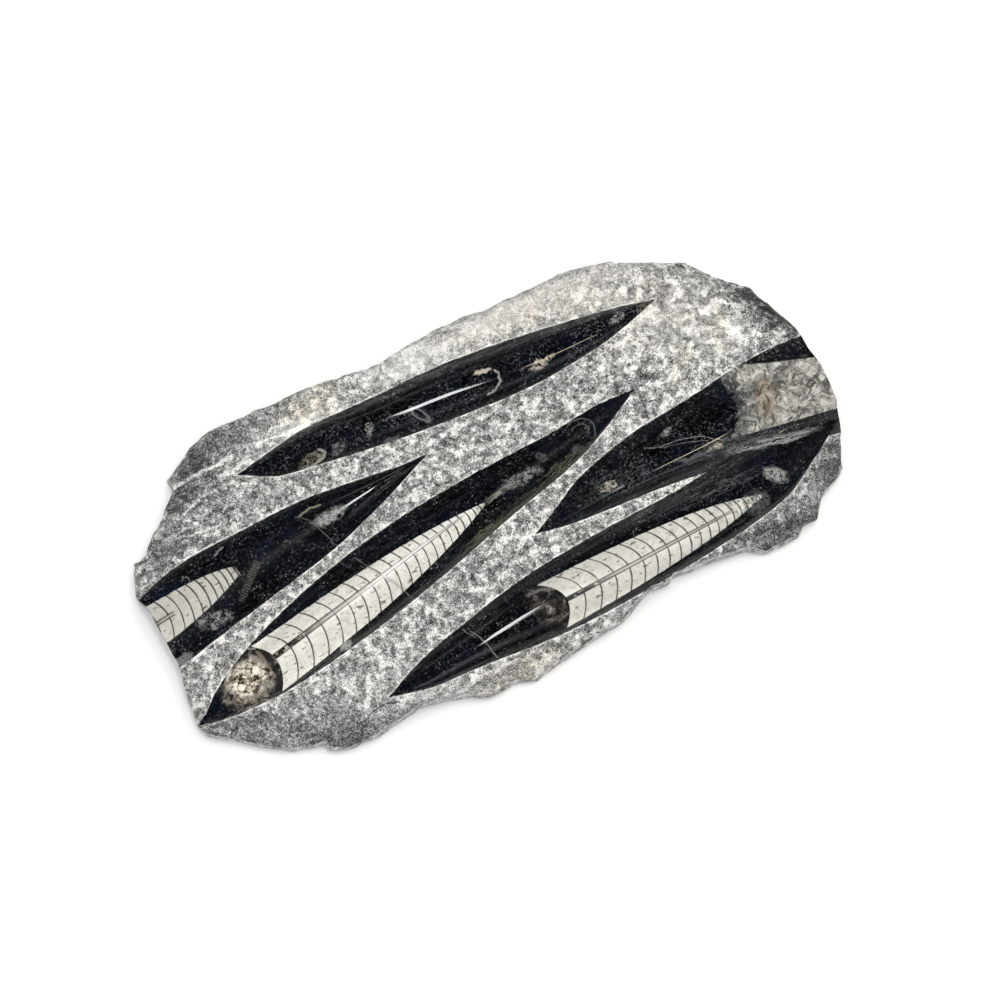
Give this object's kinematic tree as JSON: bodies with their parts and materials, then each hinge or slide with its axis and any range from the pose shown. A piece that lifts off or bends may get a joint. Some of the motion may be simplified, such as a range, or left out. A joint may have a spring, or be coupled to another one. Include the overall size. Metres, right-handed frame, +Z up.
{
  "type": "orthoceras fossil plate",
  "caption": "Slab of black limestone lying on a sawn base, with leaf-shaped polished ridges that carry straight cone-shaped fossils in a pecked ground.",
  "frame": {"origin": "centre of the flat sawn base, under the middle of the slab's plan", "axes": "+X along the slab's length, towards the end where two ridges run together; +Z up out of the carved face"},
  "size_m": [0.398, 0.204, 0.0304],
  "materials": {
    "limestone": "pecked dull grey ground, polished black ridges, cream calcite fossils"
  },
  "bodies": {
    "root": {"fossil_slab": "limestone"}
  },
  "joints": []
}
